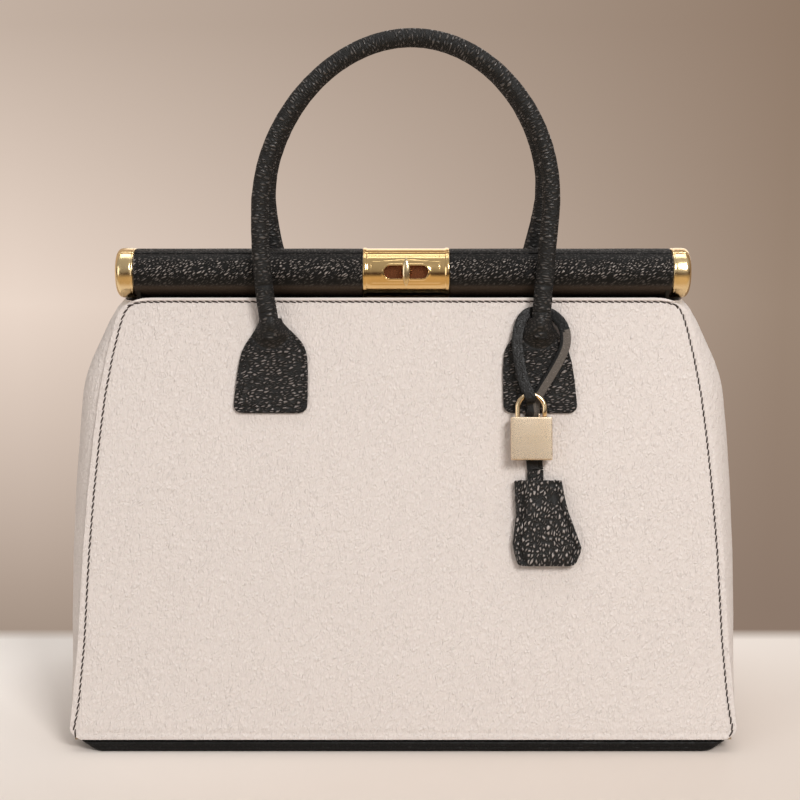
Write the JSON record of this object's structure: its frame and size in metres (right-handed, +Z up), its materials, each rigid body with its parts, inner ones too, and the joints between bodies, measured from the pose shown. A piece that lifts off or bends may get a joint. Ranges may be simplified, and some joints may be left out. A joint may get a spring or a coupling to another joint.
{
  "type": "top handle bag",
  "caption": "Structured top handle bag with a round split frame bar, turn clasp, rolled handles, hanging padlock and leather key bell.",
  "frame": {"origin": "middle of the base on the surface that the bag stands on", "axes": "+X to the right along the bar seen from the clasp side, -Y towards the clasp side, +Z up"},
  "size_m": [0.3662, 0.16, 0.375],
  "materials": {
    "pale_leather": "pebbled, satin",
    "black_leather": "pebbled, semi-gloss",
    "lining_cloth": "woven, matt",
    "stiffening_board": "matt",
    "frame_steel": "brushed",
    "gold_plate": "polished",
    "lock_recess": "dark, glossy",
    "filler_cord": "matt",
    "satin_gold": "satin, brushed upright",
    "padlock_wire": "polished",
    "padlock_brass": "satin"
  },
  "bodies": {
    "root": {"base_cover": "black_leather", "base_board": "stiffening_board", "base_lining": "lining_cloth", "left_gusset": "pale_leather", "right_gusset": "pale_leather", "left_gusset_lining": "lining_cloth", "right_gusset_lining": "lining_cloth"},
    "front_panel": {"front_panel": "pale_leather", "front_board": "stiffening_board", "front_lining": "lining_cloth", "front_hinge_strip": "black_leather", "front_left_tab": "black_leather", "front_right_tab": "black_leather", "front_left_neck": "black_leather", "front_right_neck": "black_leather"},
    "rear_panel": {"rear_panel": "pale_leather", "rear_board": "stiffening_board", "rear_lining": "lining_cloth", "rear_hinge_strip": "black_leather", "rear_left_tab": "black_leather", "rear_right_tab": "black_leather", "rear_left_neck": "black_leather", "rear_right_neck": "black_leather"},
    "front_frame": {"front_bar_core": "frame_steel", "front_bar_leather": "black_leather", "front_left_cap": "gold_plate", "front_right_cap": "gold_plate", "front_frame_arms": "frame_steel", "front_clasp_plate": "gold_plate", "lock_well": "lock_recess"},
    "rear_frame": {"rear_bar_core": "frame_steel", "rear_bar_leather": "black_leather", "rear_left_cap": "gold_plate", "rear_right_cap": "gold_plate", "rear_frame_arms": "frame_steel", "rear_clasp_plate": "gold_plate", "striker_plate": "frame_steel", "pivot_pins": "frame_steel"},
    "turn_knob": {"turn_knob": "gold_plate", "knob_clip": "frame_steel", "latch_cam": "frame_steel"},
    "front_handle": {"front_handle_leather": "black_leather", "front_handle_filler": "filler_cord"},
    "rear_handle": {"rear_handle_leather": "black_leather", "rear_handle_filler": "filler_cord"},
    "charm_strap": {"charm_strap": "black_leather"},
    "padlock": {"padlock_shackle": "padlock_wire"},
    "padlock_case": {"padlock_case": "satin_gold"},
    "padlock_plug": {"padlock_plug": "padlock_brass"},
    "fob": {"fob_strap": "black_leather", "fob_key": "padlock_brass"},
    "clochette": {"clochette_back": "black_leather", "clochette_front": "black_leather"}
  },
  "joints": [
    {"name": "front_panel_swing", "type": "hinge", "parent": "root", "child": "front_panel", "pos_m": [0, -0.08, 0.0056], "axis": [1, 0, 0], "range_deg": [0, 8]},
    {"name": "front_frame_fold", "type": "hinge", "parent": "front_panel", "child": "front_frame", "pos_m": [0, -0.0115, 0.2325], "axis": [1, 0, 0], "range_deg": [0, 23.2], "deforming": ["front_hinge_strip", "front_left_neck", "front_right_neck"]},
    {"name": "rear_panel_swing", "type": "hinge", "parent": "root", "child": "rear_panel", "pos_m": [0, 0.08, 0.0056], "axis": [-1, 0, 0], "range_deg": [0, 8]},
    {"name": "rear_frame_fold", "type": "hinge", "parent": "rear_panel", "child": "rear_frame", "pos_m": [0, 0.0115, 0.2325], "axis": [-1, 0, 0], "range_deg": [0, 23.2], "deforming": ["rear_hinge_strip", "rear_left_neck", "rear_right_neck"]},
    {"name": "turn_knob_turn", "type": "hinge", "parent": "front_frame", "child": "turn_knob", "pos_m": [0.0016, 0, 0.245], "axis": [0, -0.9877, 0.1564], "range_deg": [-90, 0]},
    {"name": "front_handle_tilt", "type": "hinge", "parent": "front_frame", "child": "front_handle", "pos_m": [0, -0.01978, 0.23603], "axis": [1, 0, 0], "range_deg": [0, 70], "deforming": ["front_left_neck", "front_right_neck"]},
    {"name": "rear_handle_tilt", "type": "hinge", "parent": "rear_frame", "child": "rear_handle", "pos_m": [0, 0.01978, 0.23603], "axis": [-1, 0, 0], "range_deg": [0, 70], "deforming": ["rear_left_neck", "rear_right_neck"]},
    {"name": "charm_swing", "type": "hinge", "parent": "front_panel", "child": "charm_strap", "pos_m": [0.0737, -0.01637, 0.22578], "axis": [0, -0.9595, 0.2818], "range_deg": [-6, 6]},
    {"name": "padlock_swing", "type": "hinge", "parent": "charm_strap", "child": "padlock", "pos_m": [0.0683, -0.0354, 0.1805], "axis": [0, -0.9595, 0.2818], "range_deg": [-8, 8]},
    {"name": "padlock_unlock", "type": "slide", "parent": "padlock", "child": "padlock_case", "axis": [0, -0.2818, -0.9595], "range_m": [0, 0.003]},
    {"name": "padlock_plug_turn", "type": "hinge", "parent": "padlock_case", "child": "padlock_plug", "pos_m": [0.0683, -0.04428, 0.15028], "axis": [0, -0.2818, -0.9595], "range_deg": [0, 90]},
    {"name": "fob_swing", "type": "hinge", "parent": "charm_strap", "child": "fob", "pos_m": [0.0708, -0.04227, 0.14114], "axis": [0, -0.9595, 0.2818], "range_deg": [-8, 8]},
    {"name": "clochette_lift", "type": "slide", "parent": "fob", "child": "clochette", "axis": [0, 0.2818, 0.9595], "range_m": [0, 0.003]}
  ],
  "couplings": [
    {"joint": "front_frame_fold", "follows": "front_panel_swing", "ratio": 2.88},
    {"joint": "rear_panel_swing", "follows": "front_panel_swing", "ratio": 1},
    {"joint": "rear_frame_fold", "follows": "front_panel_swing", "ratio": 2.88}
  ]
}
